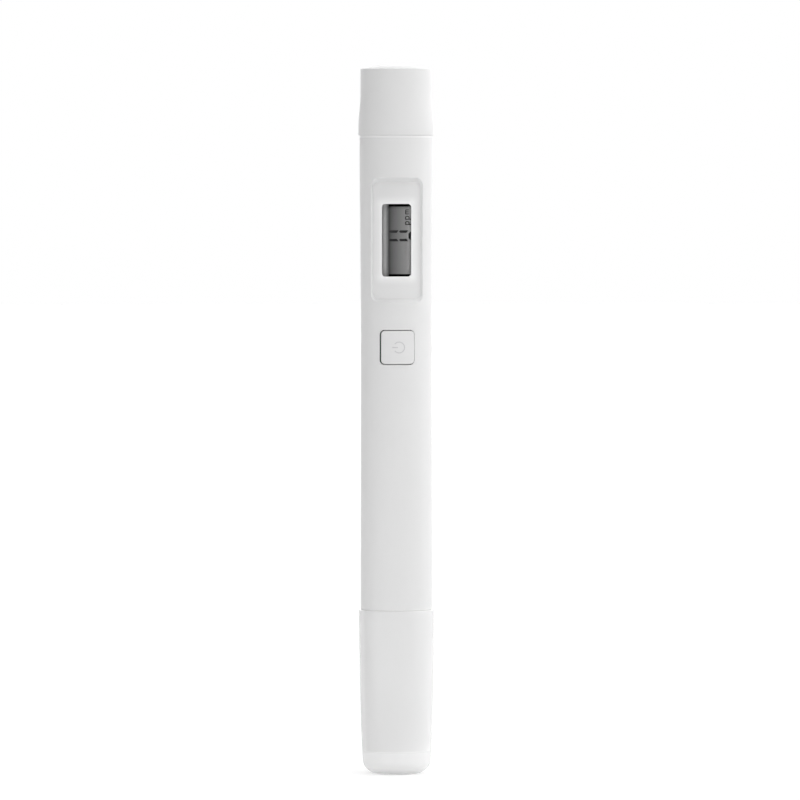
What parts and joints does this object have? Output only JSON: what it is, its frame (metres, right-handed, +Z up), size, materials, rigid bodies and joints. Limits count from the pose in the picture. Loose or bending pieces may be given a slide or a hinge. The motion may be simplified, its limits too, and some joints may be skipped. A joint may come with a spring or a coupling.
{
  "type": "digital water tester",
  "caption": "Slim pen-shaped water tester: display window and push button in a round barrel, a push-on battery cap and a translucent push-on probe cap it stands on.",
  "frame": {"origin": "centre of the flat foot of the probe cap, which the pen stands on", "axes": "+Z up along the pen from the probe cap to the top cap; the display and the button face -Y"},
  "size_m": [0.016, 0.016, 0.151],
  "materials": {
    "white_abs": "fine matt moulded ABS",
    "frosted_pp": "translucent frosted polypropylene",
    "clear_acrylic": "clear polished acrylic",
    "lcd_glass": "thin display glass",
    "lcd_film": "grey polarizing film",
    "black_plastic": "matt black",
    "grey_silicone": "matt silicone",
    "black_rubber": "matt rubber",
    "solder_mask": "green solder mask on glass fibre board",
    "component_ceramic": "matt ceramic",
    "nickel_plate": "satin nickel plate on steel",
    "titanium": "turned titanium",
    "black_wire": "wire insulation",
    "red_wire": "wire insulation"
  },
  "bodies": {
    "barrel_body": {"barrel": "white_abs", "button_membrane": "grey_silicone", "switch_body": "black_plastic", "display_lens": "clear_acrylic", "lcd_polarizer": "lcd_film", "lcd_front_glass": "lcd_glass", "lcd_rear_glass": "lcd_glass", "lcd_backing_pad": "grey_silicone", "lcd_frame": "black_plastic", "zebra_connector": "grey_silicone", "circuit_board": "solder_mask", "board_tray": "white_abs", "microcontroller": "black_plastic", "amplifier_chip": "black_plastic", "chip_resistor_1": "component_ceramic", "chip_resistor_2": "component_ceramic", "chip_resistor_3": "component_ceramic", "chip_resistor_4": "component_ceramic", "chip_capacitor_1": "component_ceramic", "chip_capacitor_2": "component_ceramic", "crystal": "nickel_plate", "filter_capacitor": "nickel_plate", "battery_holder": "white_abs", "top_cap_seal_ring": "black_rubber", "battery_cell_lower": "nickel_plate", "battery_cell_upper": "nickel_plate", "battery_spring": "nickel_plate", "negative_terminal": "nickel_plate", "positive_strip": "nickel_plate", "probe_holder": "white_abs", "probe_seal_ring": "black_rubber", "probe_pin_left": "titanium", "probe_pin_right": "titanium", "probe_wire_left": "black_wire", "probe_wire_right": "red_wire", "thermistor_bead": "black_plastic", "thermistor_lead_left": "nickel_plate", "thermistor_lead_right": "nickel_plate"},
    "top_cap_body": {"top_cap": "white_abs", "cap_contact": "nickel_plate"},
    "probe_cap_body": {"probe_cap": "frosted_pp"},
    "button_body": {"measure_button": "white_abs"},
    "plunger_body": {"switch_plunger": "black_plastic"}
  },
  "joints": [
    {"name": "top_cap_pull", "type": "slide", "parent": "barrel_body", "child": "top_cap_body", "axis": [0, 0, 1], "range_m": [0, 0.014]},
    {"name": "probe_cap_pull", "type": "slide", "parent": "barrel_body", "child": "probe_cap_body", "axis": [0, 0, -1], "range_m": [0, 0.03]},
    {"name": "button_press", "type": "slide", "parent": "barrel_body", "child": "button_body", "axis": [0, 1, 0], "range_m": [0, 0.0004], "stiffness_N_per_m": 1500, "deforming": ["button_membrane"]},
    {"name": "plunger_press", "type": "slide", "parent": "barrel_body", "child": "plunger_body", "axis": [0, 1, 0], "range_m": [0, 0.0004]}
  ],
  "couplings": [
    {"joint": "plunger_press", "follows": "button_press", "ratio": 1}
  ]
}
